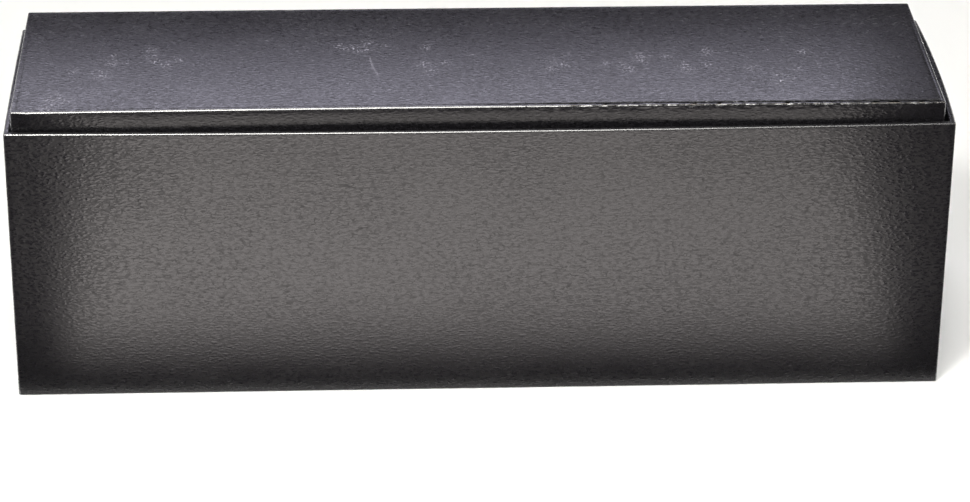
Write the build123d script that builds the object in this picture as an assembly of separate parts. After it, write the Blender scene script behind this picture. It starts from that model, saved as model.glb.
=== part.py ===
from build123d import *
import os

os.makedirs("parts", exist_ok=True)

# A closed storage box for graded cards: a rigid board base with a hinged lid that drops inside its rim.
# Millimetres. X runs along the length, Y to the back, Z up from the surface that the box stands on.
# The origin is the centre of the footprint, on that surface.

# Overall sizes
box_length = 438.0
box_depth = 120.0
rim_height = 137.0
lid_proud = 9.0

# Board, covering and tape
board = 2.0
wrap = 0.35
stay_tape = 0.15
sheet = 0.25
lining = 0.2

# How far the rims bow outwards in the middle of each side; a minus sign is inwards
front_bow = 2.7
right_bow = 1.7
back_bow = 0.0
left_bow = 0.3
lid_front_bow = -1.3
bow_spans = 8

# Lid
skirt_depth = 15.0
lid_front_gap = 1.5
lid_end_gap = 1.2
lid_shift = -0.7
skirt_back_clearance = 0.6

# Covering details
turn_in = 18.0
turn_under = 14.0
corner_radius = 0.6
sheet_inset = 3.0
stay_width = 20.0
stay_end_gap = 3.0
lining_gap = 0.3

# Foam
side_foam = 12.0
floor_foam = 3.0
foam_wall_gap = 0.2
foam_lid_gap = 0.3

# Hinge strip
strip_wrap = 0.35
strip_below = 16.0
strip_above = 8.0
strip_end_gap = 6.0

# Places that follow from the sizes above
wall = wrap + board
covered_wall = wall + wrap
floor_bottom = sheet + wrap
floor_top = floor_bottom + board
total_height = rim_height + lid_proud
skirt_bottom = rim_height - skirt_depth
foam_top = skirt_bottom - foam_lid_gap
reach = box_length + box_depth

# The four sides of an outline, in the order front, right, back, left
base_bows = (front_bow, right_bow, back_bow, left_bow)
lid_bows = (lid_front_bow, 0.0, 0.0, 0.0)
no_bows = (0.0, 0.0, 0.0, 0.0)


def bowed_edges(start, end, bow, spans):
    """A line, or an arc that bows to the right of its direction, in equal spans."""
    along = (end - start).normalized()
    outwards = Vector(along.Y, -along.X, 0)
    if bow == 0:
        whole = Line(start, end)
    else:
        whole = ThreePointArc(start, (start + end) * 0.5 + outwards * bow, end)
    edges = []
    for span in range(spans):
        first = whole @ (span / spans)
        middle = whole @ ((span + 0.5) / spans)
        last = whole @ ((span + 1) / spans)
        edges.append(Line(first, last) if bow == 0 else ThreePointArc(first, middle, last))
    return edges


def spans_of(bow):
    """A bowed wall is cut into spans, so that every layer of it bends at the same places."""
    return bow_spans if bow else 1


def outline(half_length, half_depth, bows, rim_bows, straight, z):
    """A closed face with bowed sides, straight for a stretch beside each corner."""
    front_left = Vector(-half_length, -half_depth, z)
    front_right = Vector(half_length, -half_depth, z)
    back_right = Vector(half_length, half_depth, z)
    back_left = Vector(-half_length, half_depth, z)
    corners = [front_left, front_right, back_right, back_left]
    edges = []
    for side, start in enumerate(corners):
        end = corners[(side + 1) % len(corners)]
        along = (end - start).normalized() * straight
        if straight > 0:
            edges.append(Line(start, start + along))
        edges += bowed_edges(start + along, end - along, bows[side], spans_of(rim_bows[side]))
        if straight > 0:
            edges.append(Line(end - along, end))
    return make_face(edges)


def layer(low, high):
    """Everything between two heights."""
    return Pos(0, 0, (low + high) / 2) * Box(2 * reach, 2 * reach, high - low)


def behind(y, low, high):
    """Everything behind a plane, between two heights."""
    return Pos(0, y + reach, (low + high) / 2) * Box(2 * reach, 2 * reach, high - low)


def base_block(inset, straight=0.0):
    """The base's outer form, set in by a distance: straight at the floor, bowed at the rim."""
    half_length = box_length / 2 - inset
    half_depth = box_depth / 2 - inset
    low = outline(half_length, half_depth, no_bows, base_bows, straight, 0)
    high = outline(half_length, half_depth, base_bows, base_bows, straight, rim_height)
    return loft([low, high], ruled=True)


lid_front = -box_depth / 2 + covered_wall + lid_front_gap
lid_middle = (lid_front + box_depth / 2) / 2
lid_half_length = box_length / 2 - covered_wall - lid_end_gap
lid_half_depth = box_depth / 2 - lid_middle


def lid_block(inset, straight=0.0):
    """The lid's outer form, set in by a distance, from the foot of the skirt to the top."""
    half_length = lid_half_length - inset
    half_depth = lid_half_depth - inset
    face = outline(half_length, half_depth, lid_bows, lid_bows, straight, skirt_bottom)
    return Pos(lid_shift, lid_middle, 0) * extrude(face, total_height - skirt_bottom)


def wall_panel(start, end, bow_low, bow_high, low, high, thickness, straight):
    """An upright panel from start to end, its outer face on that line, bowed more at the top."""
    def section(bow, z):
        a = Vector(start[0], start[1], z)
        b = Vector(end[0], end[1], z)
        along = (b - a).normalized()
        inwards = Vector(-along.Y, along.X, 0) * thickness
        run = along * straight
        outer = bowed_edges(a + run, b - run, bow, spans_of(bow_high))
        inner = bowed_edges(b - run + inwards, a + run + inwards, -bow, spans_of(bow_high))
        if straight > 0:
            outer = [Line(a, a + run), *outer, Line(b - run, b)]
            inner = [Line(b + inwards, b - run + inwards), *inner, Line(a + run + inwards, a + inwards)]
        return make_face([*outer, Line(b, b + inwards), *inner, Line(a + inwards, a)])

    return loft([section(bow_low, low), section(bow_high, high)], ruled=True)


def base_bow(bow, z):
    """A base wall's bow at a height."""
    return bow * z / rim_height


def base_wall(start, end, bow, straight):
    """One board wall of the base, from under the floor to the covering on the rim."""
    low = floor_bottom
    high = rim_height - wrap
    return wall_panel(start, end, base_bow(bow, low), base_bow(bow, high), low, high, board, straight)


def corner_boxes(half_length, half_depth, centre_x, centre_y, low, high):
    """Four upright blocks over the corners, as far along each side as the tape reaches."""
    size = 2 * stay_width
    boxes = []
    for x in (-half_length, half_length):
        for y in (-half_depth, half_depth):
            place = Pos(centre_x + x, centre_y + y, (low + high) / 2)
            boxes.append(place * Box(size, size, high - low))
    return boxes


# Base boards. The long walls run past the ends of the short ones, and the floor lies between all four.
end_x = box_length / 2 - wrap
side_y = box_depth / 2 - wrap
short_y = side_y - board
front_board = base_wall((-end_x, -side_y), (end_x, -side_y), front_bow, board)
back_board = base_wall((end_x, side_y), (-end_x, side_y), back_bow, board)
right_board = base_wall((end_x, -short_y), (end_x, short_y), right_bow, 0)
left_board = base_wall((-end_x, short_y), (-end_x, -short_y), left_bow, 0)
floor_board = Pos(0, 0, (floor_bottom + floor_top) / 2) * Box(2 * (end_x - board), 2 * short_y, board)

# Kraft tape round the four upright corners, over the boards and under the covering
stay_shell = base_block(wrap - stay_tape, board) - base_block(wrap, board)
stay_low = floor_bottom + stay_end_gap
stay_high = rim_height - wrap - stay_end_gap
base_corner_stays = []
for block in corner_boxes(box_length / 2, box_depth / 2, 0, 0, stay_low, stay_high):
    base_corner_stays.append((stay_shell & block).solid())

# The covering: up the outside, over the rim, down inside by the turn-in, and turned under the floor
outer = base_block(0) & layer(sheet, rim_height)
outer = fillet(outer.edges(), corner_radius)
inside = base_block(wall) & layer(floor_top, rim_height - turn_in)
rim_inside = base_block(covered_wall) & layer(rim_height - turn_in, rim_height)
boards = base_block(wrap, board) & layer(floor_bottom, rim_height - wrap)
boards -= base_block(wall) & layer(floor_top, rim_height)
window = Pos(0, 0, floor_bottom / 2) * Box(
    box_length - 2 * turn_under, box_depth - 2 * turn_under, 2 * floor_bottom
)
base_wrap = outer - boards - inside - rim_inside - window
for stay in base_corner_stays:
    base_wrap -= stay

# A plain sheet pasted under the floor, over the turned-under edges
underside_sheet = Pos(0, 0, sheet / 2) * Box(
    box_length - 2 * sheet_inset, box_depth - 2 * sheet_inset, sheet
)

# Foam: a floor pad over the whole floor, then long pads and end pads that stand on it and follow the walls
foam_inset = covered_wall + foam_wall_gap
foam_bottom = floor_top + floor_foam
foam_x = box_length / 2 - foam_inset
foam_y = box_depth / 2 - foam_inset
bay_y = foam_y - side_foam


def foam_wall(start, end, bow):
    """One upright foam pad along a wall."""
    low_bow = base_bow(bow, foam_bottom)
    high_bow = base_bow(bow, foam_top)
    return wall_panel(start, end, low_bow, high_bow, foam_bottom, foam_top, side_foam, 0)


foam_front_pad = foam_wall((-foam_x, -foam_y), (foam_x, -foam_y), front_bow)
foam_back_pad = foam_wall((foam_x, foam_y), (-foam_x, foam_y), back_bow)
foam_right_pad = foam_wall((foam_x, -bay_y), (foam_x, bay_y), right_bow)
foam_left_pad = foam_wall((-foam_x, bay_y), (-foam_x, -bay_y), left_bow)
foam_floor_pad = Pos(0, 0, (floor_top + foam_bottom) / 2) * Box(2 * foam_x, 2 * foam_y, floor_foam)

# The hinge: a strip of the covering paper pasted over the back joint, half on the base, half on the lid
strip_low = rim_height - strip_below
strip_high = rim_height + strip_above
hinge_strip = Pos(0, box_depth / 2 + strip_wrap / 2, (strip_low + strip_high) / 2) * Box(
    box_length - 2 * strip_end_gap, strip_wrap, strip_high - strip_low
)

# Lid boards. Below the rim the skirt stops in front of the base's back wall; behind it the lid's back
# board stands on the rim.
lid_low = skirt_bottom + wrap
lid_high = total_height - wrap
lid_left_x = lid_shift - lid_half_length + wrap
lid_right_x = lid_shift + lid_half_length - wrap
lid_front_y = lid_front + wrap
lid_back_y = box_depth / 2 - wrap
skirt_back = box_depth / 2 - covered_wall - skirt_back_clearance
skirt_notch = behind(skirt_back - wrap, lid_low - board, rim_height + wrap)


def lid_wall(start, end, bow, low, straight):
    """One board wall of the lid, up to the covering on its top."""
    return wall_panel(start, end, bow, bow, low, lid_high, board, straight)


lid_front_board = lid_wall(
    (lid_left_x, lid_front_y), (lid_right_x, lid_front_y), lid_front_bow, lid_low, board
)
lid_back_board = lid_wall(
    (lid_right_x, lid_back_y), (lid_left_x, lid_back_y), 0, rim_height + wrap, board
)
lid_right_board = lid_wall(
    (lid_right_x, lid_front_y + board), (lid_right_x, lid_back_y - board), 0, lid_low, 0
)
lid_left_board = lid_wall(
    (lid_left_x, lid_back_y - board), (lid_left_x, lid_front_y + board), 0, lid_low, 0
)
lid_right_board -= skirt_notch
lid_left_board -= skirt_notch
lid_top_board = lid_block(wall) & layer(lid_high - board, lid_high)

# Kraft tape round the lid's four corners
lid_stay_shell = lid_block(wrap - stay_tape, board) - lid_block(wrap, board)
lid_stay_shell -= skirt_notch
lid_stay_low = lid_low + stay_tape
lid_stay_high = lid_high - stay_tape
lid_corner_stays = []
for block in corner_boxes(
    lid_half_length, lid_half_depth, lid_shift, lid_middle, lid_stay_low, lid_stay_high
):
    for piece in (lid_stay_shell & block).solids():
        lid_corner_stays.append(piece)

# The lid's covering: over the top, down the skirt, round its foot and up inside to the top board
lid_outer = lid_block(0)
lid_outer = fillet(
    lid_outer.edges().filter_by(Axis.Z) + lid_outer.edges().group_by(Axis.Z)[-1], corner_radius
)
lid_outer -= behind(skirt_back, skirt_bottom - board, rim_height)
lid_boards = lid_block(wrap, board) & layer(lid_low, lid_high)
lid_boards -= skirt_notch
lid_boards -= lid_block(wall) & layer(skirt_bottom, lid_high - board)
lid_inside = lid_block(covered_wall) & layer(skirt_bottom, lid_high - board)
lid_wrap = lid_outer - lid_boards - lid_inside
for stay in lid_corner_stays:
    lid_wrap -= stay

# A paper sheet pasted inside the lid, between the turned-in edges
lid_lining = lid_block(covered_wall + lining_gap) & layer(lid_high - board - lining, lid_high - board)

pieces = {
    "floor_board": floor_board,
    "front_board": front_board,
    "back_board": back_board,
    "left_board": left_board,
    "right_board": right_board,
    "base_corner_stays": Compound(base_corner_stays),
    "base_wrap": base_wrap,
    "underside_sheet": underside_sheet,
    "foam_floor_pad": foam_floor_pad,
    "foam_front_pad": foam_front_pad,
    "foam_back_pad": foam_back_pad,
    "foam_left_pad": foam_left_pad,
    "foam_right_pad": foam_right_pad,
    "hinge_strip": hinge_strip,
    "lid_top_board": lid_top_board,
    "lid_front_board": lid_front_board,
    "lid_back_board": lid_back_board,
    "lid_left_board": lid_left_board,
    "lid_right_board": lid_right_board,
    "lid_corner_stays": Compound(lid_corner_stays),
    "lid_wrap": lid_wrap,
    "lid_lining": lid_lining,
}

for name, shape in pieces.items():
    export_step(shape, f"parts/{name}.step")
    print(name, len(shape.solids()), "solid(s)", round(shape.volume / 1000, 2), "cm3")
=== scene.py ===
import math

import bmesh
import bpy
import numpy as np
from mathutils import Matrix, Vector, noise


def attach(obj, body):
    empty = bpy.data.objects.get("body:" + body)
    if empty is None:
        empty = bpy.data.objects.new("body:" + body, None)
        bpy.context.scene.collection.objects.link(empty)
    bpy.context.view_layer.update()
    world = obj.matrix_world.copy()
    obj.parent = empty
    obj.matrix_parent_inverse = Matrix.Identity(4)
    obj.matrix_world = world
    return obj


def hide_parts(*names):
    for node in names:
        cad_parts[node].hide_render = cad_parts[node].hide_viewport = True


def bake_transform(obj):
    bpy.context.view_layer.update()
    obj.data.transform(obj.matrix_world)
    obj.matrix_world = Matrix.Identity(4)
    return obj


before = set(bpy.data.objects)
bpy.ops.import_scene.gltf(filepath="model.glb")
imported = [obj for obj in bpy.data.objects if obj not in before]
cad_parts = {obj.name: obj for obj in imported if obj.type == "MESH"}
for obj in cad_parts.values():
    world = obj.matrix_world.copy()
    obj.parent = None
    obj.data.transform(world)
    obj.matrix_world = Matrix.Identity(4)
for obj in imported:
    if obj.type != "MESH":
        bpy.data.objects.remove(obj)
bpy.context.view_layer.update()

# The camera: a long lens 1.7 m in front of the box and a little to its left, looking down on the lid.
# Its place, turn and lens come from a fit of the box's corners and edges to the photograph.
camera_place = (-0.0670, -1.4964, 0.8147)
camera_heading = -2.738
camera_tilt_down = 27.255
camera_roll = 0.487
camera = bpy.data.objects.new("camera", bpy.data.cameras.new("camera"))
camera.data.sensor_width = 36
camera.data.lens = 128.5
camera.matrix_world = (
    Matrix.Translation(camera_place)
    @ Matrix.Rotation(math.radians(camera_heading), 4, "Z")
    @ Matrix.Rotation(math.radians(90 - camera_tilt_down), 4, "X")
    @ Matrix.Rotation(math.radians(camera_roll), 4, "Z")
)
bpy.context.collection.objects.link(camera)
bpy.context.scene.camera = camera

# The studio: a white table that runs into a white background, a key lamp high on the left, a long lamp
# high in front that shines in the folded edges, and two soft panels near the box, one sloping up from the
# table in front of it and one standing behind it, whose reflections shade its satin paper.
bpy.context.scene.view_settings.view_transform = "Standard"
room_light = 0.2
table_half_width = 4.0
table_white = "#e4e4e4"
table_glow = 0.2
table_edge_start = 0.55
table_edge_end = 1.6


def linear(code):
    """An sRGB hex colour as linear red, green, blue and alpha."""
    parts = [int(code[i : i + 2], 16) / 255 for i in (1, 3, 5)]
    return (*(p / 12.92 if p <= 0.04045 else ((p + 0.055) / 1.055) ** 2.4 for p in parts), 1.0)


def add(nodes, kind, links=None, **settings):
    """A node with its settings; links holds a number, a colour or another node's output for each input."""
    node = nodes.new("ShaderNode" + kind)
    for name, value in settings.items():
        setattr(node, name, value)
    for name, value in (links or {}).items():
        if isinstance(value, bpy.types.NodeSocket):
            nodes.id_data.links.new(value, node.inputs[name])
        else:
            node.inputs[name].default_value = value
    return node


def seen_directly(nodes):
    """1 for the rays that show a background: those from the camera, a reflection or clear glass."""
    rays = add(nodes, "LightPath").outputs
    seen = rays["Is Camera Ray"]
    for other in ("Is Glossy Ray", "Is Transmission Ray"):
        seen = add(nodes, "Math", {0: seen, 1: rays[other]}, operation="MAXIMUM").outputs[0]
    return seen


world = bpy.data.worlds.new("white_room")
bpy.context.scene.world = world
world.use_nodes = True
nodes = world.node_tree.nodes
strength = add(nodes, "MapRange", {"Value": seen_directly(nodes), "To Min": room_light, "To Max": 1.0})
nodes["Background"].inputs["Color"].default_value = linear("#ffffff")
nodes.id_data.links.new(strength.outputs[0], nodes["Background"].inputs["Strength"])

table_mesh = bpy.data.meshes.new("table")
w = table_half_width
table_mesh.from_pydata([(-w, -w, 0), (w, -w, 0), (w, w, 0), (-w, w, 0)], [], [(0, 1, 2, 3)])
table = bpy.data.objects.new("table", table_mesh)
bpy.context.collection.objects.link(table)

# Painted white board, matt, whose far part glows into the background so that no horizon shows. It is clear
# from below, so that the box's underside can be looked at.
table_paint = bpy.data.materials.new("matt_white_table")
table_paint.use_nodes = True
nodes = table_paint.node_tree.nodes
nodes.remove(nodes["Principled BSDF"])
seen = seen_directly(nodes)
paint = add(nodes, "BsdfDiffuse", {"Color": linear(table_white)})
glow_seen = add(nodes, "Math", {0: seen, 1: table_glow}, operation="MULTIPLY")
glow = add(nodes, "Emission", {"Strength": glow_seen.outputs[0]})
lit = add(nodes, "AddShader", {0: paint.outputs[0], 1: glow.outputs[0]})
from_box = add(nodes, "VectorMath", {0: add(nodes, "TexCoord").outputs["Object"]}, operation="LENGTH")
far = add(
    nodes,
    "MapRange",
    {"Value": from_box.outputs["Value"], "From Min": table_edge_start, "From Max": table_edge_end},
    interpolation_type="SMOOTHSTEP",
)
far_seen = add(nodes, "Math", {0: far.outputs[0], 1: seen}, operation="MULTIPLY")
white = add(nodes, "Emission", {"Strength": 1.0})
whole = add(nodes, "MixShader", {0: far_seen.outputs[0], 1: lit.outputs[0], 2: white.outputs[0]})
from_below = add(nodes, "NewGeometry").outputs["Backfacing"]
clear = add(nodes, "BsdfTransparent")
one_sided = add(nodes, "MixShader", {0: from_below, 1: whole.outputs[0], 2: clear.outputs[0]})
nodes.id_data.links.new(one_sided.outputs[0], nodes["Material Output"].inputs["Surface"])
table_mesh.materials.append(table_paint)


def soft_lamp(name, centre, aim, up, across, upwards, border, colour, dim, bright, right_share=1.0):
    """The cloth front of a soft lamp, which the camera doesn't see. It faces aim. Across and upwards give
    the four places, in metres from its centre, where it starts and ends getting bright and starts and ends
    getting dim. Border is how much further its dim cloth goes, and right_share how bright its right end is
    against its left."""
    mesh = bpy.data.meshes.new(name)
    left, right = across[0] - border, across[3] + border
    low, high = upwards[0] - border, upwards[3] + border
    corners = [(left, low, 0), (right, low, 0), (right, high, 0), (left, high, 0)]
    mesh.from_pydata(corners, [], [(0, 1, 2, 3)])
    lamp = bpy.data.objects.new(name, mesh)
    facing = (Vector(aim) - Vector(centre)).normalized()
    side = Vector(up).cross(facing).normalized()
    turn = Matrix((side, facing.cross(side), facing)).transposed()
    lamp.matrix_world = Matrix.Translation(centre) @ turn.to_4x4()
    bpy.context.collection.objects.link(lamp)
    lamp.visible_camera = False
    lamp.visible_shadow = False
    cloth = bpy.data.materials.new(name + "_cloth")
    cloth.use_nodes = True
    nodes = cloth.node_tree.nodes
    nodes.remove(nodes["Principled BSDF"])
    place = add(nodes, "SeparateXYZ", {0: add(nodes, "TexCoord").outputs["Object"]})
    fade = {"From Min": across[0], "From Max": across[3], "To Min": 1.0, "To Max": right_share}
    level = add(nodes, "MapRange", {"Value": place.outputs[0], **fade}).outputs[0]
    for axis, ends in ((0, across), (1, upwards)):
        for outer, inner in (ends[:2], ends[:1:-1]):
            rise = add(
                nodes,
                "MapRange",
                {"Value": place.outputs[axis], "From Min": outer, "From Max": inner, "To Max": level},
                interpolation_type="SMOOTHSTEP",
            )
            level = rise.outputs[0]
    level = add(nodes, "MapRange", {"Value": level, "To Min": dim, "To Max": bright}).outputs[0]
    shine = add(nodes, "Emission", {"Color": linear(colour), "Strength": level})
    clear = add(nodes, "BsdfTransparent")
    back = add(nodes, "NewGeometry").outputs["Backfacing"]
    one_sided = add(nodes, "MixShader", {0: back, 1: shine.outputs[0], 2: clear.outputs[0]})
    nodes.id_data.links.new(one_sided.outputs[0], nodes["Material Output"].inputs["Surface"])
    mesh.materials.append(cloth)


soft_lamp(
    "key_lamp",
    centre=(-0.566, -1.157, 1.63),
    aim=(0, 0, 0.1),
    up=(0, 0, 1),
    across=(-0.2, -0.1, 0.1, 0.2),
    upwards=(-0.2, -0.1, 0.1, 0.2),
    border=0,
    colour="#fffdf8",
    dim=0,
    bright=92.0,
)
soft_lamp(
    "edge_lamp",
    centre=(0.0, -1.816, 3.66),
    aim=(0, 0, 0.1),
    up=(0, 0, 1),
    across=(-0.68, -0.1, 0.48, 0.62),
    upwards=(-1.5, -1.3, 1.3, 1.5),
    border=2.6,
    colour="#fffdf8",
    dim=0.12,
    bright=15.0,
)
panel_slope = math.radians(25)
panel_foot = Vector((0.0035, -0.07, 0.002))
panel_middle = 0.1
panel_rise = Vector((0, -math.cos(panel_slope), math.sin(panel_slope)))
panel_facing = Vector((0, math.sin(panel_slope), math.cos(panel_slope)))
panel_centre = panel_foot + panel_middle * panel_rise
soft_lamp(
    "front_panel_lamp",
    centre=panel_centre,
    aim=panel_centre + panel_facing,
    up=(0, 1, 0),
    across=(-0.212, -0.19, 0.189, 0.209),
    upwards=(-0.24, 0.02, 0.053, 0.1),
    border=0.5,
    colour="#fff8f4",
    dim=0.0,
    bright=3.85,
    right_share=0.8,
)
soft_lamp(
    "back_panel_lamp",
    centre=(0.0, 0.10, 0.24),
    aim=(0, 0, 0.24),
    up=(0, 0, 1),
    across=(-0.32, -0.24, 0.18, 0.25),
    upwards=(-0.06, -0.009, 0.08, 0.14),
    border=0.03,
    colour="#eeebff",
    dim=0.03,
    bright=4.1,
    right_share=0.88,
)

# The box's walls and floor, and the lid's: recycled greyboard 2 mm thick, cut to size and glued edge to
# edge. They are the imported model's own parts, and the covering hides nearly all of them.
board_nodes = tuple(f"{side}_board" for side in ("floor", "front", "back", "left", "right"))
lid_board_nodes = tuple(f"lid_{side}_board" for side in ("top", "front", "back", "left", "right"))
fibre_length = 1.4
fibre_width = 0.35
fibre_relief = 0.00008
clump = 5.0


def new_finish(name):
    """A new material, its nodes, and its shader."""
    finish = bpy.data.materials.new(name)
    finish.use_nodes = True
    return finish, finish.node_tree.nodes, finish.node_tree.nodes["Principled BSDF"]


def connect(shader, **sources):
    """Joins nodes' outputs to the shader's inputs of those names, or sets plain values there."""
    for name, value in sources.items():
        socket = shader.inputs[name.replace("_", " ")]
        if isinstance(value, bpy.types.NodeSocket):
            shader.id_data.links.new(value, socket)
        else:
            socket.default_value = value


def per_mm(x, y, z, turn=0.0):
    """The mapping that makes a place in metres count 1 for every x, y and z millimetres, turned about z in
    degrees."""
    return {"Rotation": (0, 0, math.radians(turn)), "Scale": (1000 / x, 1000 / y, 1000 / z)}


# Greyboard, rolled from repulped paper: matt and warm grey, with pale and dark fibres and soft clumps. In
# shades, here and below, 0 is a Mix node's factor, and 6 and 7 are the two colours that it goes between.
greyboard, nodes, shader = new_finish("rolled_greyboard")
place = add(nodes, "TexCoord").outputs["Object"]
sizes = per_mm(fibre_length, fibre_width, fibre_width)
fibre_grid = add(nodes, "Mapping", {"Vector": place, **sizes}).outputs[0]
fibres = add(nodes, "TexNoise", {"Vector": fibre_grid, "Scale": 1.0, "Detail": 3.0})
clump_grid = add(nodes, "Mapping", {"Vector": place, **per_mm(clump, clump, clump)}).outputs[0]
clumps = add(nodes, "TexNoise", {"Vector": clump_grid, "Scale": 1.0, "Detail": 2.0})
fibre_share = add(nodes, "MapRange", {"Value": fibres.outputs[0], "From Min": 0.35, "From Max": 0.7})
shades = {0: clumps.outputs[0], 6: linear("#7d776e"), 7: linear("#97918a")}
colour = add(nodes, "Mix", shades, data_type="RGBA").outputs[2]
shades = {0: fibre_share.outputs[0], 6: colour, 7: linear("#aaa59c")}
colour = add(nodes, "Mix", shades, data_type="RGBA").outputs[2]
bump = add(nodes, "Bump", {"Height": fibres.outputs[0], "Strength": 0.5, "Distance": fibre_relief})
connect(shader, Base_Color=colour, Roughness=0.9, Specular_IOR_Level=0.3, Normal=bump.outputs[0])
for name in board_nodes + lid_board_nodes:
    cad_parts[name].data.materials.clear()
    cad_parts[name].data.materials.append(greyboard)

# The base's covering: black paper with a leather grain pressed into it, one strip wound round the four
# walls, lapped on the back near the left corner, turned over the rim and under the floor, and glued down.
# Sizes from here on are in mm, and sides go front, right, back, left.
box_half = (219.0, 60.0)
rim_height = 137.0
rim_bows = (2.7, 1.7, 0.0, 0.3)
foot = 0.25
board = 2.0
wrap = 0.35
wall = board + wrap
turn_in_end = 119.0
turn_under = 14.0
upright_edge = 0.9
foot_edge = 0.7
rim_edge = 1.0
rim_inner_edge = 0.7
grid_step = 2.0
corner_steps = 8
wall_row = 40
lap_place = 186.0
lap_width = 12.0
lap_height = 0.22
lap_step = 0.15
hollow_depth = 0.10
hollow_size = 70.0
dent_size = 14.0
edge_clearance = 9.0
mitre_depth = 0.08
mitre_width = 0.06


def evenly(reach, step):
    """Places along a side from -reach to reach, step or a little less apart."""
    return np.linspace(-reach, reach, math.ceil(2 * reach / step) + 1)


def outline(stations, half, bows, inset, radius):
    """Points and outward directions round a box from above, anticlockwise from the front side's left end.
    Stations are places along the four sides, from each one's middle, in walking order."""
    points, outwards = [], []
    for side in range(4):
        along = np.array([(1, 0), (0, 1), (-1, 0), (0, -1)][side], float)
        out = np.array([along[1], -along[0]])
        length = half[side % 2] - inset
        reach = half[(side + 1) % 2] - inset
        straight = length - radius
        s = np.clip(stations[side], -straight, straight)
        bent = reach + bows[side] * (1 - (s / length) ** 2)
        points.append(np.outer(s, along) + np.outer(bent, out))
        outwards.append(np.tile(out, (len(s), 1)))
        angle = np.linspace(0, math.pi / 2, corner_steps + 1)[1:-1]
        fan = np.outer(np.cos(angle), out) + np.outer(np.sin(angle), along)
        points.append(straight * along + (reach - radius) * out + radius * fan)
        outwards.append(fan)
    return np.concatenate(points), np.concatenate(outwards)


def turned(inset, z, radius, start, end, steps):
    """Steps of inset and height round an edge, as the paper turns from one angle to another."""
    angles = np.radians(np.linspace(start, end, steps + 1))
    return [(inset + radius * math.cos(a), z + radius * math.sin(a)) for a in angles]


def ripple(places, size, seed):
    """Smooth bumps from -1 to 1 at places in mm, about that size across."""
    flat = places.reshape(-1, 2) / size
    bumps = [noise.noise(Vector((x, y, seed))) for x, y in flat]
    return np.array(bumps).reshape(places.shape[:-1])


def eased(x, start, end):
    """0 before start, 1 after end, and a smooth rise between."""
    t = np.clip((x - start) / (end - start), 0, 1)
    return t * t * (3 - 2 * t)


def around(grid):
    """A grid's value at the four corners of each of its faces."""
    return np.stack([grid[:-1, :-1], grid[:-1, 1:], grid[1:, 1:], grid[1:, :-1]], axis=2)


def glued_up(name, sheets, sharp=38):
    """One mesh, in metres, from grids of points in mm, each with its places on the flat paper per face
    corner and, where a fold is polished and painted paler as a highlight, which faces have that finish.
    Edges over the sharp angle show."""
    points, faces, flat, polished, count = [], [], [], [], 0
    for grid, paper, *folds in sheets:
        index = np.arange(grid.shape[0] * grid.shape[1]).reshape(grid.shape[:2]) + count
        points.append(grid.reshape(-1, 3))
        faces.append(around(index).reshape(-1, 4))
        flat.append(paper.reshape(-1, 2))
        plain = np.zeros((grid.shape[0] - 1, grid.shape[1] - 1), bool)
        polished.append((folds[0] if folds else plain).ravel())
        count += index.size
    mesh = bpy.data.meshes.new(name)
    mesh.from_pydata((np.concatenate(points) / 1000).tolist(), [], np.concatenate(faces).tolist())
    mesh.polygons.foreach_set("material_index", np.concatenate(polished).astype(np.int32))
    flat = np.concatenate(flat) / 1000
    flat = np.column_stack([flat, np.zeros(len(flat))]).astype(np.float32)
    mesh.attributes.new("paper", "FLOAT_VECTOR", "CORNER").data.foreach_set("vector", flat.ravel())
    made = bmesh.new()
    made.from_mesh(mesh)
    bmesh.ops.remove_doubles(made, verts=made.verts, dist=2e-6)
    made.to_mesh(mesh)
    made.free()
    mesh.shade_smooth()
    mesh.set_sharp_from_angle(angle=math.radians(sharp))
    piece = bpy.data.objects.new(name, mesh)
    bpy.context.collection.objects.link(piece)
    return piece


def run_of(line):
    """How far along a line of pairs each of its points is."""
    steps = np.diff(np.array(line), axis=0)
    return np.concatenate([[0], np.cumsum(np.hypot(steps[:, 0], steps[:, 1]))])


side_steps = evenly(box_half[0] - upright_edge, grid_step)
end_steps = evenly(box_half[1] - upright_edge, grid_step)
back_steps = np.sort(np.append(side_steps, (lap_place - lap_step, lap_place + lap_step)))
stations = (side_steps, end_steps, back_steps, end_steps)
near_foot = [1.5, 2.5, 4.0]
near_rim = [rim_height - z for z in (4.0, 2.6, 1.6)]
upright = list(np.linspace(6, rim_height - 6, 64))
outside = (
    [(turn_under, foot), (9.0, foot), (5.0, foot), (2.5, foot)]
    + turned(foot_edge, foot + foot_edge, foot_edge, -90, -180, 6)
    + [(0.0, z) for z in near_foot + upright + near_rim]
    + turned(rim_edge, rim_height - rim_edge, rim_edge, 180, 90, 8)
    + turned(wall + wrap - rim_inner_edge, rim_height - rim_inner_edge, rim_inner_edge, 90, 0, 5)
    + [(wall + wrap, z) for z in np.linspace(rim_height - 2, turn_in_end, 9)]
)
glued_side = [
    (wall, turn_in_end),
    (wall, rim_height - wrap),
    (wrap, rim_height - wrap),
    (wrap, foot + wrap),
    (turn_under, foot + wrap),
    (turn_under, foot),
]
line = outside + glued_side
rows = []
for inset, z in line:
    bows = [bow * z / rim_height for bow in rim_bows]
    radius = max(upright_edge - inset, 0.25)
    points, outwards = outline(stations, box_half, bows, inset, radius)
    rows.append(np.column_stack([points, np.full(len(points), z)]))
grid = np.array(rows)
from_lap = np.hypot(grid[wall_row, :, 0] + lap_place - lap_step, grid[wall_row, :, 1] - box_half[1])
lap_column = int(np.argmin(from_lap))
grid = np.roll(grid, -lap_column - 1, axis=1)
outwards = np.roll(outwards, -lap_column - 1, axis=0)
grid = np.concatenate([grid, grid[:, :1]], axis=1)
outwards = np.concatenate([outwards, outwards[:1]])
paper = np.stack(np.meshgrid(run_of(grid[wall_row, :, :2]), run_of(line)), axis=-1)

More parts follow.
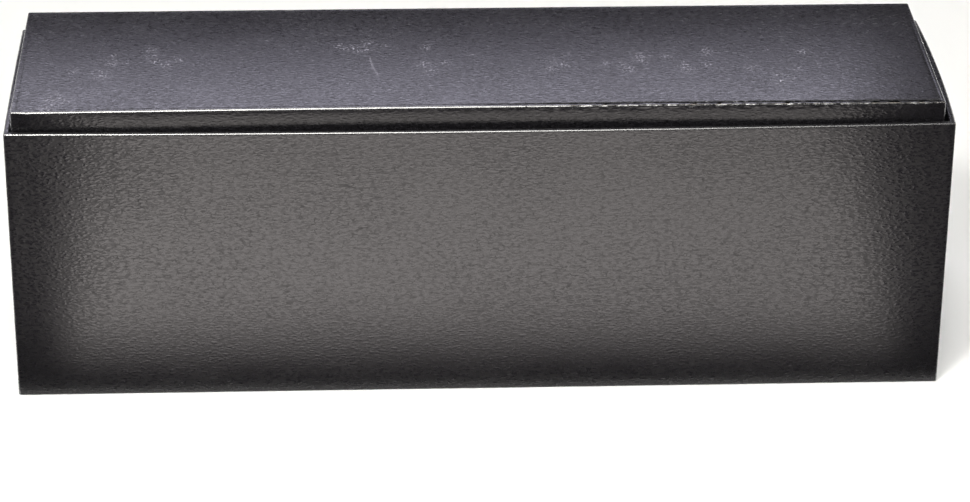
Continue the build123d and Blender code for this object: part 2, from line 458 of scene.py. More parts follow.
# The paper lies a little hollow between its edges, and its end makes a low step where it laps over its
# start
heights = grid[:, :, 2]
is_outer = np.array([inset < 0.01 for inset, z in line])[:, None]
from_walls = np.abs(np.abs(grid[:, :, :2]) - box_half)
from_corner = np.minimum(from_walls, edge_clearance).sum(axis=2)
clear_of_edges = is_outer * eased(from_corner, 1.5, edge_clearance)
clear_of_edges *= eased(heights, 1.5, edge_clearance) * eased(rim_height - heights, 1, edge_clearance - 1)
dents = ripple(paper, hollow_size, 1.0) + 0.35 * ripple(paper, dent_size, 2.0)
hollow = hollow_depth * (1.1 + dents) * clear_of_edges
along_back = grid[:, :, 0] + lap_place
on_back = (outwards[:, 1] > 0.99)[None, :] * is_outer
lap = np.where(along_back <= 0, 1 - eased(-along_back, lap_width - 2, lap_width + 2), 0)
lift = lap_height * lap * on_back * eased(heights, 1, 2) * eased(rim_height - heights, 0.3, 5) - hollow
grid[:, :, 0] += lift * outwards[None, :, 0]
grid[:, :, 1] += lift * outwards[None, :, 1]

# Along the rim the paper is a little uneven, and mitred folds sink into the corners
on_rim = np.array([z > rim_height - 1.2 and inset < wall + wrap - 0.01 for inset, z in line])[:, None]
uneven = 0.03 + 0.04 * ripple(paper, 24, 3.0) + 0.01 * ripple(paper, 6, 4.0)
mitre = np.exp(-((np.abs(outwards[:, 0]) - np.abs(outwards[:, 1])) ** 2) / mitre_width)[None, :]
grid[:, :, 2] -= on_rim * (uneven + mitre_depth * mitre)

is_upright_fold = np.abs(outwards[:-1]).max(axis=1) < 0.999
down_arc = [(rim_height - z) / rim_edge if inset < rim_edge else 0 for inset, z in line[:-1]]
is_rim_fold = np.array([0.1 < d < 0.65 for d in down_arc])
# These fold faces get the creased paper, whose paler colour is partly wear and partly a painted highlight
folds = is_rim_fold[:, None] | (is_upright_fold[None, :] & is_outer[:-1])
base_covering = glued_up("base_covering", [(grid, around(paper), folds)])
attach(base_covering, "base")
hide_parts("base_wrap")

# Leather-grain paper: a thin black coating pressed between engraved rollers into flat pebbles, parted by
# short creases that slant both ways and fade out, deeper in some patches. It is satin, with a plastic's
# IOR, so it shows soft lights as broad fades, smooth on the pebbles and rough in the creases. Its colour is
# painted darker in the creases, as painted shade.
patch = 45.0
flatness = 0.6
crease_width = 0.13
pebble_rise = 0.4
pillow_height = 0.35
pore_height = 0.08
grain_depth = 0.0002
paper_ior = 1.5

# Real pebbles are 1 to 2 mm across. These are drawn larger, so that they show at the photograph's scale.
pebble_length = 3.2
pebble_height = 1.3
pebble_lean = 8.0
wander = 0.45
wrinkle_length = 2.5
wrinkle_height = 1.05
fade_length = 3.4
pore = 0.8


def grain(nodes, paper):
    """The pressed grain: how polished it is, from 0 in the creases to 1 on the pebbles' crests, which also
    sets the painted shade in the creases, how deep its patches are, and its relief."""
    sizes = per_mm(wrinkle_length, wrinkle_height, 1, -pebble_lean)
    leaning = add(nodes, "Mapping", {"Vector": paper, **sizes}).outputs[0]
    soft = {"Scale": 1.0, "Detail": 1.5, "Roughness": 0.45, "Distortion": 0.4}
    wrinkles = add(nodes, "TexNoise", {"Vector": leaning, **soft})
    pore_grid = add(nodes, "Mapping", {"Vector": paper, **per_mm(pore, pore * flatness, 1)}).outputs[0]
    pores = add(nodes, "TexNoise", {"Vector": pore_grid, "Scale": 1.0, "Detail": 1.0})
    patch_grid = add(nodes, "Mapping", {"Vector": paper, **per_mm(patch, patch, 1)}).outputs[0]
    patches = add(nodes, "TexNoise", {"Vector": patch_grid, "Scale": 1.0, "Detail": 1.5})
    sizes = per_mm(fade_length, fade_length * flatness, 1)
    fade_grid = add(nodes, "Mapping", {"Vector": paper, **sizes}).outputs[0]
    fades = add(nodes, "TexNoise", {"Vector": fade_grid, "Scale": 1.0, "Detail": 1.0})
    sizes = per_mm(pebble_length, pebble_height, 1, pebble_lean)
    cells = add(nodes, "Mapping", {"Vector": paper, **sizes}).outputs[0]
    sway = {0: wrinkles.outputs["Color"], 1: (wander, wander, 0), 2: cells}
    strayed = add(nodes, "VectorMath", sway, operation="MULTIPLY_ADD").outputs[0]
    pebbles = add(nodes, "TexVoronoi", {"Vector": strayed, "Scale": 1.0}, feature="DISTANCE_TO_EDGE")
    from_crease = pebbles.outputs["Distance"]
    fade = {"From Min": 0.4, "From Max": 0.6, "To Max": 0.95}
    floor = add(nodes, "MapRange", {"Value": fades.outputs[0], **fade}).outputs[0]
    slope = {"Value": from_crease, "From Max": crease_width, "To Min": floor, "To Max": 1.0}
    crests = add(nodes, "MapRange", slope, interpolation_type="SMOOTHSTEP")
    swell = {"Value": from_crease, "From Max": pebble_rise, "To Max": pillow_height}
    pillows = add(nodes, "MapRange", swell, interpolation_type="SMOOTHSTEP")
    waves = add(nodes, "Math", {0: pillows.outputs[0], 1: wrinkles.outputs[0]}, operation="ADD")
    pored = {0: pores.outputs[0], 1: pore_height, 2: waves.outputs[0]}
    height = add(nodes, "Math", pored, operation="MULTIPLY_ADD")
    spread = {"From Min": 0.36, "From Max": 0.64, "To Min": 0.75, "To Max": 1.0}
    deep = add(nodes, "MapRange", {"Value": patches.outputs[0], **spread})
    relief = add(nodes, "Math", {0: height.outputs[0], 1: deep.outputs[0]}, operation="MULTIPLY")
    spread = {"From Min": 0.4, "From Max": 0.6, "To Min": 0.45, "To Max": 1.0}
    high = add(nodes, "MapRange", {"Value": wrinkles.outputs[0], **spread})
    polish = add(nodes, "Math", {0: high.outputs[0], 1: crests.outputs[0]}, operation="MULTIPLY")
    return polish.outputs[0], deep.outputs[0], relief.outputs[0]


def leather_paper(name):
    """The covering paper where it lies flat: a new material, its nodes, and its shader."""
    finish, nodes, shader = new_finish(name)
    paper = add(nodes, "Attribute", attribute_name="paper").outputs["Vector"]
    crests, deep, relief = grain(nodes, paper)
    bump = add(nodes, "Bump", {"Height": relief, "Strength": 1.0, "Distance": grain_depth})
    valley_rough = add(nodes, "MapRange", {"Value": deep, "From Min": 0.7, "To Min": 0.56, "To Max": 0.68})
    rough = add(nodes, "MapRange", {"Value": crests, "To Min": valley_rough.outputs[0], "To Max": 0.12})
    # The creases are painted darker than the crests: painted shade in the grain's valleys
    shades = {0: crests, 6: linear("#0b0a0c"), 7: linear("#201f22")}
    colour = add(nodes, "Mix", shades, data_type="RGBA").outputs[2]
    connect(shader, Base_Color=colour, Roughness=rough.outputs[0], Normal=bump.outputs[0], IOR=paper_ior)
    return finish, nodes, shader


base_paper = leather_paper("leather_grain_paper")[0]

# The same paper where it is folded over a board's edge: the bone that creases it presses its grain nearly
# flat and polishes it like a coat of wax, so an edge shows as a thin bright line. Its paler colour there is
# partly rubbed wear and partly a painted highlight, and its creases are painted darker as shade.
folded_relief = 0.02
fold_polish_and_highlight, nodes, shader = new_finish("leather_grain_paper_creased")
paper = add(nodes, "Attribute", attribute_name="paper").outputs["Vector"]
crests, _, relief = grain(nodes, paper)
bump = add(nodes, "Bump", {"Height": relief, "Strength": 0.5, "Distance": grain_depth * folded_relief})
# Paler than the flat paper: partly wear and partly a painted highlight; darker in the creases: painted
# shade
shades = {0: crests, 6: linear("#1d1c1f"), 7: linear("#38373a")}
colour = add(nodes, "Mix", shades, data_type="RGBA").outputs[2]
rough = add(nodes, "MapRange", {"Value": crests, "To Min": 0.34, "To Max": 0.22})
connect(shader, Base_Color=colour, Roughness=rough.outputs[0], Normal=bump.outputs[0], IOR=paper_ior)
connect(shader, Specular_IOR_Level=1.0, Coat_Weight=1.0, Coat_IOR=1.7, Coat_Roughness=0.25)
base_covering.data.materials.append(base_paper)
base_covering.data.materials.append(fold_polish_and_highlight)

# The corner stays: gummed kraft tape folded round each upright corner, over the boards and under the
# covering, four on the base and four on the lid. They hold the boards together while the covering's glue
# dries.
tape = 0.15
tape_reach = 20.0
tape_faces = ((wrap - tape + 0.06, 0.2), (wrap - 0.01, 0.05))
base_tape_low = 3.6
base_tape_high = 133.65


def bowed(flat, half, bows, share):
    """Points on a box's sides, bent out with them by that share of the bows."""
    x, y = flat[:, 0], flat[:, 1]
    out_x = np.where(x > 0, bows[1], -bows[3]) * (1 - (y / half[1]) ** 2)
    out_y = np.where(y > 0, bows[2], -bows[0]) * (1 - (x / half[0]) ** 2)
    return flat + share * np.column_stack([out_x, out_y])


def corner_tape(name, half, middle, bows, bow_height, low, high, back_low):
    """Four strips of tape folded round the corners of a box of boards. The bows grow up to bow_height, or
    are the same all the way up where there is none."""

    def at(flat, z):
        share = z / bow_height if bow_height else 1.0
        return np.column_stack([bowed(flat, half, bows, share) + middle, np.full(len(flat), z)])

    strips = []
    angles = np.radians(np.linspace(0, 90, 6))
    for x, y in ((-1, -1), (1, -1), (1, 1), (-1, 1)):
        profile = []
        for inset, radius in tape_faces:
            corner = np.array([half[0] - inset, half[1] - inset])
            turn = corner - radius * (1 - np.column_stack([np.cos(angles), np.sin(angles)]))
            ends = ([corner[0], half[1] - tape_reach], [half[0] - tape_reach, corner[1]])
            profile.append(np.vstack([ends[0], turn, ends[1]]) * (x, y))
        ring = np.vstack([profile[0], profile[1][::-1], profile[0][:1]])
        if x * y < 0:
            ring = ring[::-1]
            profile.reverse()
        levels = np.linspace(back_low if y > 0 else low, high, 12)
        sides = [[at(ring, z) for z in levels]]
        sides.append([at(flat, levels[0]) for flat in profile])
        sides.append([at(flat, levels[-1]) for flat in profile[::-1]])
        for side in map(np.array, sides):
            strips.append((side, around(side[:, :, :2])))
    return glued_up(name, strips)


# Kraft tape: brown, unbleached and matt, with long fibres along the roll
tape_fibre_width = 0.4
tape_fibre_length = 3.0
kraft, nodes, shader = new_finish("gummed_kraft_tape")
place = add(nodes, "TexCoord").outputs["Object"]
sizes = per_mm(tape_fibre_width, tape_fibre_width, tape_fibre_length)
fibre_grid = add(nodes, "Mapping", {"Vector": place, **sizes}).outputs[0]
fibres = add(nodes, "TexNoise", {"Vector": fibre_grid, "Scale": 1.0, "Detail": 3.0})
shades = {0: fibres.outputs[0], 6: linear("#8a6a45"), 7: linear("#b08c61")}
colour = add(nodes, "Mix", shades, data_type="RGBA").outputs[2]
bump = add(nodes, "Bump", {"Height": fibres.outputs[0], "Strength": 0.4, "Distance": 0.00005})
connect(shader, Base_Color=colour, Roughness=0.8, Specular_IOR_Level=0.4, Normal=bump.outputs[0])

base_tape = corner_tape(
    "base_corner_tape",
    half=box_half,
    middle=(0, 0),
    bows=rim_bows,
    bow_height=rim_height,
    low=base_tape_low,
    high=base_tape_high,
    back_low=base_tape_low,
)
base_tape.data.materials.append(kraft)
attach(base_tape, "base")
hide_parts("base_corner_stays")

# The sheet under the floor and the lining in the lid: thin black uncoated paper, pasted flat over the
# edges of the covering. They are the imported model's own parts. The paper is matt, with faint fibres and a
# cloudy dye.
sheet_fibre_length = 1.6
sheet_fibre_width = 0.5
dye_cloud = 25.0
black_paper, nodes, shader = new_finish("dyed_black_paper")
place = add(nodes, "TexCoord").outputs["Object"]
sizes = per_mm(sheet_fibre_length, sheet_fibre_width, 1)
fibre_grid = add(nodes, "Mapping", {"Vector": place, **sizes}).outputs[0]
fibres = add(nodes, "TexNoise", {"Vector": fibre_grid, "Scale": 1.0, "Detail": 4.0})
sizes = per_mm(dye_cloud, dye_cloud, dye_cloud)
cloud_grid = add(nodes, "Mapping", {"Vector": place, **sizes}).outputs[0]
clouds = add(nodes, "TexNoise", {"Vector": cloud_grid, "Scale": 1.0, "Detail": 2.0})
pale_fibres = add(nodes, "MapRange", {"Value": fibres.outputs[0], "From Min": 0.5, "From Max": 0.8})
shades = {0: clouds.outputs[0], 6: linear("#1a1a1b"), 7: linear("#262627")}
colour = add(nodes, "Mix", shades, data_type="RGBA").outputs[2]
shades = {0: pale_fibres.outputs[0], 6: colour, 7: linear("#3a3a3b")}
colour = add(nodes, "Mix", shades, data_type="RGBA").outputs[2]
bump = add(nodes, "Bump", {"Height": fibres.outputs[0], "Strength": 0.6, "Distance": 0.00006})
connect(shader, Base_Color=colour, Roughness=0.86, Specular_IOR_Level=0.35, Normal=bump.outputs[0])
for name in ("underside_sheet", "lid_lining"):
    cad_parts[name].data.materials.clear()
    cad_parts[name].data.materials.append(black_paper)

# The foam: five pads of black closed-cell foam, 12 mm on the walls and 3 mm on the floor, knife cut and
# glued in, the floor pad first. The walls' pads follow the walls' bow. Cut edges are a little rounded and
# the faces a little uneven.
foam_low = 5.6
foam_high = 121.7
foam_half = (216.1, 57.1)
bay_half = 45.1
foam_thick = 12.0
floor_pad_low = 2.6
foam_edge = 1.3
foam_step = 5.0
foam_uneven = 0.35
foam_uneven_size = 26.0
foam_cell = 0.9
foam_sliver = 9.0


def cut_lines(low, high):
    """Places of a pad's grid lines, close together in its rounded edges."""
    edge = foam_edge * np.array([0, 0.3, 0.6, 1.0])
    count = max(3, math.ceil((high - low) / foam_step))
    middle = np.linspace(low + foam_edge, high - foam_edge, count)[1:-1]
    return np.concatenate([low + edge, middle, high - edge[::-1]])


def foam_pad(node, low, high, bow_side=None, bow=0.0, bow_half=1.0):
    """A pad of foam between two corners. One with a bow_side, the axis that the bow runs along and the way
    it bends, follows that wall's bow, more at the top."""
    low, high = np.array(low, float), np.array(high, float)
    x, y, z = (cut_lines(low[i], high[i]) for i in range(3))
    sheets = []
    for axis, lines in ((0, (y, z)), (1, (z, x)), (2, (x, y))):
        for end, flip in ((low[axis], True), (high[axis], False)):
            first, second = np.meshgrid(lines[0], lines[1])
            side = np.empty(first.shape + (3,))
            side[..., (axis + 1) % 3] = first
            side[..., (axis + 2) % 3] = second
            side[..., axis] = end
            if flip:
                side = side[:, ::-1]
            core = np.clip(side, low + foam_edge, high - foam_edge)
            away = side - core
            away /= np.linalg.norm(away, axis=2, keepdims=True)
            places = np.stack([side.sum(axis=2), side @ np.array([0.3, -1.0, 0.7])], axis=-1)
            sunk = foam_uneven * (0.5 + 0.5 * ripple(places, foam_uneven_size, 5.0 + axis))
            side = core + away * (foam_edge - np.minimum(sunk, foam_edge * 0.9))[..., None]
            if bow_side is not None:
                across, out = bow_side
                rise = bow * side[..., 2] / rim_height * (1 - (side[..., across] / bow_half) ** 2)
                side[..., 1 - across] += out * rise
            sheets.append((side, around(side[..., :2])))
    pad = glued_up(node.replace("foam", "cut_foam"), sheets, sharp=60)
    pad.data.materials.append(cut_foam)
    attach(pad, "base")
    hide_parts(node)


# Closed-cell foam: charcoal and quite matt, its cut face full of fine open cells, drawn 0.9 mm across,
# about twice their real size, so that they show
cut_foam, nodes, shader = new_finish("knife_cut_foam")
place = add(nodes, "TexCoord").outputs["Object"]
cell_grid = add(nodes, "Mapping", {"Vector": place, **per_mm(foam_cell, foam_cell, foam_cell)}).outputs[0]
cells = add(nodes, "TexVoronoi", {"Vector": cell_grid, "Scale": 1.0}, feature="F1")
sizes = per_mm(foam_sliver, foam_sliver, foam_sliver)
sliver_grid = add(nodes, "Mapping", {"Vector": place, **sizes}).outputs[0]
slivers = add(nodes, "TexNoise", {"Vector": sliver_grid, "Scale": 1.0, "Detail": 4.0})
pits = add(nodes, "MapRange", {"Value": cells.outputs["Distance"], "From Min": 0.1, "From Max": 0.75})
# The cells' hollows are painted darker than their rims: painted shade
shades = {0: pits.outputs[0], 6: linear("#131314"), 7: linear("#2a2a2c")}
colour = add(nodes, "Mix", shades, data_type="RGBA").outputs[2]
shades = {0: slivers.outputs[0], 6: colour, 7: linear("#232325")}
colour = add(nodes, "Mix", shades, data_type="RGBA").outputs[2]
height = add(nodes, "Math", {0: slivers.outputs[0], 1: 0.6, 2: pits.outputs[0]}, operation="MULTIPLY_ADD")
bump = add(nodes, "Bump", {"Height": height.outputs[0], "Strength": 0.9, "Distance": 0.00035})
connect(shader, Base_Color=colour, Roughness=0.95, Specular_IOR_Level=0.2, Normal=bump.outputs[0])
connect(shader, Sheen_Weight=0.25, Sheen_Roughness=0.6)

x, y, low, high = *foam_half, foam_low, foam_high
bay_x = x - foam_thick
foam_pad("foam_floor_pad", (-x, -y, floor_pad_low), (x, y, low))
foam_pad("foam_front_pad", (-x, -y, low), (x, -bay_half, high), (0, -1), rim_bows[0], x)
foam_pad("foam_back_pad", (-x, bay_half, low), (x, y, high), (0, 1), rim_bows[2], x)
foam_pad("foam_right_pad", (bay_x, -bay_half, low), (x, bay_half, high), (1, 1), rim_bows[1], bay_half)
foam_pad("foam_left_pad", (-x, -bay_half, low), (-bay_x, bay_half, high), (1, -1), rim_bows[3], bay_half)

# The lid's covering: one sheet of the same paper over the top, folded down the front and the back, then
# down the ends over the ears of the corners, round the skirt's foot and up inside. Its back stands on the
# base's rim.
lid_half = (215.1, 57.9)
lid_middle = (-0.7, 2.1)
lid_bows = (-1.3, 0.0, 0.0, 0.0)
lid_top = 146.0
skirt_foot = 122.0
skirt_back = 56.7
lid_edge = 0.9
foot_fold = 0.6
lid_border = 3.4
lid_front_step = 1.0
lid_end_step = 1.5
lowest_row = 13
lid_wall_row = 30
ear = 1.6
ear_step = 0.10
seam_inset = 2.1
seam_width = 0.5
seam_depth = 0.3
crinkle_start = -40.0
crinkle_full = 70.0
crinkle_depth = 0.24
crinkle_width = 2.0
crinkle_drop = 1.4
crinkle_size = 2.2
pucker_size = 5.5
missed_size = 4.5
bulge = 0.3
front_edge = 1.4
lean_end = 14.0
lean = 1.2
lid_hollow_depth = 0.10

notch = skirt_back - lid_middle[1]
front_steps = evenly(lid_half[0] - lid_edge, lid_front_step)
ear_place = lid_half[1] - ear
ear_steps = (-ear_place - 0.1, -ear_place + 0.1, ear_place - 0.1, ear_place + 0.1)
right_steps = np.append(evenly(lid_half[1] - lid_edge, lid_end_step), (*ear_steps, notch, notch + 0.1))
right_steps = np.sort(right_steps)
stations = (front_steps, right_steps, front_steps, -right_steps[::-1])
under_top = lid_top - wrap
top_inside = under_top - board
# Each row of the covering: its inset, its height, and whether that is from the skirt's foot, from the
# table like the lid's top, or a share of the way from one to the other
from_foot, from_top = 0, 1
low_rows, high_rows = 4.5, lid_top - 4.0
between = [(0.0, t * high_rows + (1 - t) * low_rows, t) for t in np.linspace(0, 1, 11)[1:-1]]
line = (
    [(lid_border, under_top, from_top), (wrap, under_top, from_top)]
    + [(wrap, wrap, from_foot), (wall, wrap, from_foot)]
    + [(wall, top_inside, from_top), (wall + wrap, top_inside, from_top)]
    + [(wall + wrap, top_inside - 1.5, from_top), (wall + wrap, 2.0, from_foot)]
    + [(i, z, from_foot) for i, z in turned(wall + wrap - foot_fold, foot_fold, foot_fold, 0, -90, 5)]
    + [(i, z, from_foot) for i, z in turned(foot_fold, foot_fold, foot_fold, -90, -180, 5)]
    + [(0.0, 1.4, from_foot), (0.0, 3.0, from_foot), (0.0, low_rows, from_foot)]
    + between
    + [(0.0, lid_top - drop, from_top) for drop in (4.0, 3.0, 2.2, 1.5)]
    + [(i, z, from_top) for i, z in turned(lid_edge, lid_top - lid_edge, lid_edge, 180, 90, 8)]
    + [(i, lid_top, from_top) for i in (1.2, 1.45, 1.7, 1.9, 2.1, 2.3, 2.55, 2.8, 3.1, lid_border)]
)
rows = []
for inset, z, origin in line:
    radius = max(lid_edge - inset, 0.3) if inset < lid_border else 0.0
    points, outwards = outline(stations, lid_half, lid_bows, inset, radius)
    points = points + lid_middle
    is_back = points[:, 1] > skirt_back + 0.05
    is_back |= outwards[:, 1] > 0.01
    feet = np.where(is_back, rim_height, skirt_foot)
    rows.append(np.column_stack([points, z + feet * (1 - origin)]))
grid = np.array(rows)
side_lengths = [len(s) + corner_steps - 1 for s in stations]
side_of = np.repeat(range(4), side_lengths)
ring = np.vstack([grid[lid_wall_row, :, :2], grid[lid_wall_row, :1, :2]])
steps_round = np.hypot(*np.diff(ring, axis=0).T)
starts = np.cumsum([0] + side_lengths[:-1])
own_run = np.concatenate([[0], np.cumsum(steps_round)[:-1]])
own_run = own_run - own_run[starts][side_of] - np.array(lid_half)[side_of % 2]
grid = np.concatenate([grid, grid[:, :1]], axis=1)
outwards = np.concatenate([outwards, outwards[:1]])
side_of = np.append(side_of, 0)

# Where each face lies on the flat sheet: along from its own side's middle, and out from the top's border
down_run = run_of([(inset, z + skirt_foot * (1 - origin)) for inset, z, origin in line])
down_run = down_run[-1] - down_run
paper = np.empty((len(line) - 1, grid.shape[1] - 1, 4, 2))
for corner, (row, column) in enumerate(((0, 0), (0, 1), (1, 1), (1, 0))):
    run = own_run + column * steps_round
    out = down_run[row : len(line) - 1 + row, None] + 0 * run
    for side, (turn_x, turn_y) in enumerate(((0, -1), (1, 0), (0, 1), (-1, 0))):
        mask = side_of[:-1] == side
        reach = lid_half[(side + 1) % 2] - lid_border + out[:, mask]
        along = run[mask] + 0 * out[:, mask]
        paper[:, mask, corner, 0] = turn_x * reach - turn_y * along
        paper[:, mask, corner, 1] = turn_y * reach + turn_x * along

inset = np.array([i for i, z, origin in line])[:, None]
height = np.array([z + skirt_foot * (1 - origin) for i, z, origin in line])[:, None]
drop = lid_top - height
unrolled = np.broadcast_arrays(grid[:, :, 0] - grid[:, :, 1], grid[:, :, 1] * 0.6 + height)
flat_places = np.stack(unrolled, axis=-1)
is_outside = (np.arange(len(line)) >= lowest_row)[:, None]
is_front = (outwards[None, :, 1] < -0.9) & (grid[:, :, 1] < lid_middle[1])
from_end = lid_half[0] - np.abs(grid[:, :, 0] - lid_middle[0])
crinkled = eased(grid[:, :, 0], crinkle_start, crinkle_full) * is_front

# The front edge is rounder than the others, and below it the front's paper leans out a little from its
# board
in_arc = (inset < lid_edge + 0.01) & (drop < lid_edge + 0.01)
loose = is_front * is_outside * eased(from_end, 1, 9)
swell = (front_edge / lid_edge - 1) * loose * in_arc
below_edge = np.clip(drop - front_edge, 0, lean_end - front_edge)
leaning = lean * below_edge / (lean_end - front_edge) + 0.12 * (1 - np.exp(-below_edge))
held_at_foot = 1 - eased(drop, lean_end, lid_top - skirt_foot)
proud = loose * (bulge + leaning * eased(from_end, 1, 60)) * held_at_foot
grid[:, :, 1] += swell * inset - proud * (inset < lid_edge + 0.01)
grid[:, :, 2] -= swell * drop

# The front edge is crinkled where the paper was pulled tight, more to the right, and there the creasing
# bone missed some places. The joint between the wall and the top board shows as a faint groove behind it.
near_edge = np.exp(-((np.maximum(inset - lid_edge, 0) / crinkle_width) ** 2))
near_edge = near_edge * np.exp(-((np.maximum(drop - lid_edge, 0) / crinkle_drop) ** 2))
crinkles = ripple(flat_places, crinkle_size, 11.0) + 0.7 * ripple(flat_places, pucker_size, 12.0)
slight = 0.03 * (1 + ripple(flat_places, 9.0, 13.0))
missed = (crinkled * (0.5 + ripple(flat_places, missed_size, 14.0)) > 0.45)[:-1, :-1]
rise = np.clip((lid_edge - drop) / lid_edge, 0, 1) * is_outside
sunk = (slight + crinkle_depth * crinkled * (crinkles + 0.9 * rise)) * near_edge * is_outside
grid[:, :, :2] -= (sunk * (1 - rise))[:, :, None] * outwards
grid[:, :, 2] -= np.maximum(sunk, 0) * rise
groove = np.exp(-(((inset - seam_inset) / seam_width) ** 2)) * (height > lid_top - 0.01)
grid[:, :, 2] -= groove * seam_depth * (0.7 + 0.8 * crinkled)

# On the ends, the paper steps in beside each corner, where the ear folded round from the front or back
# ends
on_end = np.abs(outwards[None, :, 0]) > 0.99
ear_low = eased(np.abs(grid[:, :, 1] - lid_middle[1]), ear_place - 0.05, ear_place + 0.05) * on_end
outer_face = (inset < 0.2) & is_outside & (height < lid_top - 0.5)
grid[:, :, 0] -= ear_step * ear_low * outer_face * np.sign(outwards[None, :, 0])

# The top lies a little hollow over its board
top_half = np.array(lid_half) - lid_border
top_x = np.clip(front_steps, -top_half[0], top_half[0])
top_y = np.clip(right_steps, -top_half[1], top_half[1])
flat_x, flat_y = np.meshgrid(top_x, top_y)
share = (flat_y + top_half[1]) / (2 * top_half[1])
front_bow = lid_bows[0] * (1 - (flat_x / top_half[0]) ** 2)
bent_y = flat_y - front_bow * (1 - share)
top_paper = np.stack([flat_x, flat_y], axis=-1)
from_border = (top_half - np.abs(top_paper)).min(axis=2)
dents = ripple(top_paper, 60, 21.0) + 0.3 * ripple(top_paper, 15, 22.0)
hollow = lid_hollow_depth * (1.1 + dents) * eased(from_border, 0, 9)
top = np.stack([flat_x + lid_middle[0], bent_y + lid_middle[1], lid_top - hollow], axis=-1)
underneath = top.copy()
underneath[:, :, 2] = under_top
grid[-1, :, 2] = lid_top
down_arc = [(lid_top - z) / lid_edge if 0 < i < lid_edge else 0 for i, z, origin in line[:-1]]
# These fold faces get the creased paper, whose paler colour is partly wear and partly a painted highlight
is_fold = np.array([0.03 < d < 0.8 for d in down_arc])[:, None]
is_upright_fold = (np.abs(outwards[:-1]).max(axis=1) < 0.999)[None, :] & outer_face[:-1, :1]
lid_covering = glued_up(
    "lid_covering",
    [
        (grid, paper, is_fold & ~missed | is_upright_fold),
        (top, around(top_paper)),
        (underneath[:, ::-1], around(top_paper[:, ::-1])),
    ],
)
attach(lid_covering, "lid")
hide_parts("lid_wrap")

# Rubbed places on the lid, where other things stood on it: clusters of pale specks, each with its middle,
# its reach to both sides and its number of specks
speck = 1.1
rub_strength = 0.62
rub_falloff = 1.3
rub_clusters = (
    (-172, -6, 22, 9), (-148, 6, 14, 6), (-56, 12, 10, 9), (-20, -4, 24, 8), (42, -6, 8, 4),
    (70, -8, 16, 6), (98, -6, 16, 9), (150, -12, 24, 8), (-196, -46, 12, 7),
)
draws = np.random.default_rng(7)
mesh = lid_covering.data
places = np.empty(len(mesh.vertices) * 3)
mesh.vertices.foreach_get("co", places)
places = places.reshape(-1, 3) * 1000
is_top = places[:, 2] > lid_top - 0.6
rubbed = np.zeros(len(places))
for x, y, reach, specks in rub_clusters:
    for scatter in draws.normal(size=(specks, 2)):
        middle = np.array([x, y]) + reach * scatter * (0.6, 0.45)
        away = (((places[:, :2] - middle) * (1, 0.8)) ** 2).sum(axis=1) / draws.uniform(1.6, 3.8) ** 2
        rubbed = np.maximum(rubbed, rub_strength * np.exp(-rub_falloff * away) * is_top)
mesh.attributes.new("rubbed", "FLOAT", "POINT").data.foreach_set("value", rubbed.astype(np.float32))

# The lid's paper: the same, with specks of the white base sheet where it is rubbed, and one fine curved
# scratch, whose places and sizes are in metres. It runs forwards from scratch_start.
scratch_start = (-0.0508, 0.0045)
scratch_bend = 5.6
scratch_slant = 0.03
scratch_half_width = 0.0003
scratch_reach = 0.0129
scratch_full = 0.009
scratch_strength = 0.2
lid_paper, nodes, shader = leather_paper("leather_grain_paper_rubbed")
paper = add(nodes, "Attribute", attribute_name="paper").outputs["Vector"]
rub = add(nodes, "Attribute", attribute_name="rubbed").outputs["Fac"]
speck_grid = add(nodes, "Mapping", {"Vector": paper, **per_mm(speck, speck * 1.6, 1)}).outputs[0]
specks = add(nodes, "TexNoise", {"Vector": speck_grid, "Scale": 1.0, "Detail": 1.5})
specks = add(nodes, "MapRange", {"Value": specks.outputs[0], "From Min": 0.54, "From Max": 0.63})
specks = add(nodes, "Math", {0: specks.outputs[0], 1: rub}, operation="MULTIPLY")
place = add(nodes, "SeparateXYZ", {0: add(nodes, "TexCoord").outputs["Object"]})
along = add(nodes, "Math", {0: scratch_start[1], 1: place.outputs[1]}, operation="SUBTRACT").outputs[0]
curve = add(nodes, "Math", {0: along, 1: scratch_bend, 2: scratch_slant}, operation="MULTIPLY_ADD")
curve = add(nodes, "Math", {0: curve.outputs[0], 1: along, 2: scratch_start[0]}, operation="MULTIPLY_ADD")
beside = add(nodes, "Math", {0: place.outputs[0], 1: curve.outputs[0]}, operation="SUBTRACT")
beside = add(nodes, "Math", {0: beside.outputs[0]}, operation="ABSOLUTE")
fade = {"From Min": scratch_half_width, "From Max": 2 * scratch_half_width, "To Min": 1.0, "To Max": 0.0}
line_width = add(nodes, "MapRange", {"Value": beside.outputs[0], **fade})
from_middle = add(nodes, "Math", {0: along, 1: scratch_reach}, operation="SUBTRACT")
from_middle = add(nodes, "Math", {0: from_middle.outputs[0]}, operation="ABSOLUTE")
fade = {"From Min": scratch_full, "From Max": scratch_reach, "To Min": scratch_strength, "To Max": 0.0}
ends = add(nodes, "MapRange", {"Value": from_middle.outputs[0], **fade})
scratch = add(nodes, "Math", {0: line_width.outputs[0], 1: ends.outputs[0]}, operation="MULTIPLY")
worn = add(nodes, "Math", {0: specks.outputs[0], 1: scratch.outputs[0]}, operation="MAXIMUM").outputs[0]
plain = shader.inputs["Base Color"].links[0].from_socket
shades = {0: worn, 6: plain, 7: linear("#a19fa6")}
connect(shader, Base_Color=add(nodes, "Mix", shades, data_type="RGBA").outputs[2])

# The fingers that lift the lid have rubbed the grain of its front wall lower and smoother
handled_share = 0.5
facing = add(nodes, "SeparateXYZ", {0: add(nodes, "TexCoord").outputs["Normal"]}).outputs[1]
front_only = {"From Min": -0.8, "From Max": -0.95, "To Min": 1.0, "To Max": handled_share}
handled = add(nodes, "MapRange", {"Value": facing, **front_only})
unhandled = shader.inputs["Roughness"].links[0].from_socket
rough = add(nodes, "Math", {0: unhandled, 1: handled.outputs[0]}, operation="MULTIPLY")
connect(shader, Roughness=rough.outputs[0])
nodes.id_data.links.new(handled.outputs[0], nodes["Bump"].inputs["Strength"])
lid_covering.data.materials.append(lid_paper)
lid_covering.data.materials.append(fold_polish_and_highlight)

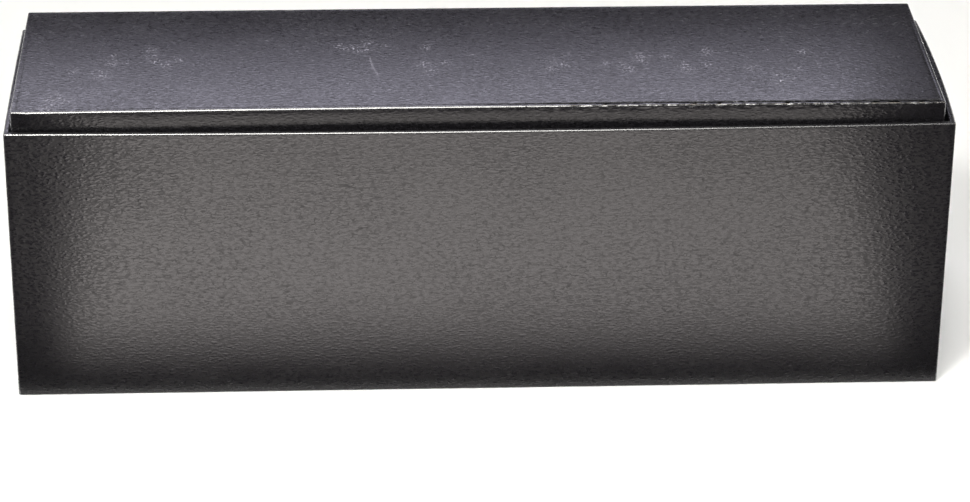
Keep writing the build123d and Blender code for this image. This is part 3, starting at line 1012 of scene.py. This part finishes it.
# The lid's own corner stays: the same tape round the lid's four corners, shorter at the back, where the
# lid's wall ends on the base's rim
lid_tape = corner_tape(
    "lid_corner_tape",
    half=lid_half,
    middle=lid_middle,
    bows=lid_bows,
    bow_height=None,
    low=122.6,
    high=144.2,
    back_low=137.5,
)
lid_tape.data.materials.append(kraft)
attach(lid_tape, "lid")
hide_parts("lid_corner_stays")

# The hinge: a strip of the covering paper 24 mm wide pasted over the joint behind, two thirds on the base
# and a third on the lid, and creased along the joint so that it folds there.
strip_half = 213.0
strip_low = 121.0
strip_high = 145.0
strip_face = 60.0
strip_thick = 0.34
strip_gap = 0.01
strip_uneven = 0.035
crease = [(1.6, 0.33), (0.7, 0.26), (0.3, 0.2), (0.0, 0.18)]
strip_line = (
    [(strip_gap, strip_low), (0.2, strip_low + 0.05), (strip_thick, strip_low + 0.5)]
    + [(strip_thick, z) for z in np.linspace(strip_low + 2, rim_height - 3, 8)]
    + [(y, rim_height - away) for away, y in crease]
    + [(y, rim_height + away) for away, y in crease[-2::-1]]
    + [(strip_thick, z) for z in np.linspace(rim_height + 3, strip_high - 1, 4)]
    + [(strip_thick, strip_high - 0.5), (0.2, strip_high - 0.05), (strip_gap, strip_high)]
)
across = evenly(strip_half, grid_step)
face = np.array([[(-x, strip_face + y, z) for x in across] for y, z in strip_line])
paper_y = np.array(strip_line)[:, 0]
back_of_strip = face.copy()
back_of_strip[:, :, 1] = strip_face + strip_gap
flat_places = face[:, :, (0, 2)]
is_proud = (paper_y > 0.15)[:, None] * eased(strip_half - np.abs(face[:, :, 0]), 0, 0.8)
face[:, :, 1] -= strip_uneven * (1 + ripple(flat_places, 12, 31.0)) * is_proud
face[:, (0, -1), 1] = strip_face + strip_gap
front_sheet = (face, around(flat_places))
glued_sheet = (back_of_strip[:, ::-1], around(flat_places[:, ::-1]))
hinge = glued_up("hinge_paper_strip", [front_sheet, glued_sheet])
hinge.data.materials.append(base_paper)
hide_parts("hinge_strip")
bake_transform(hinge)
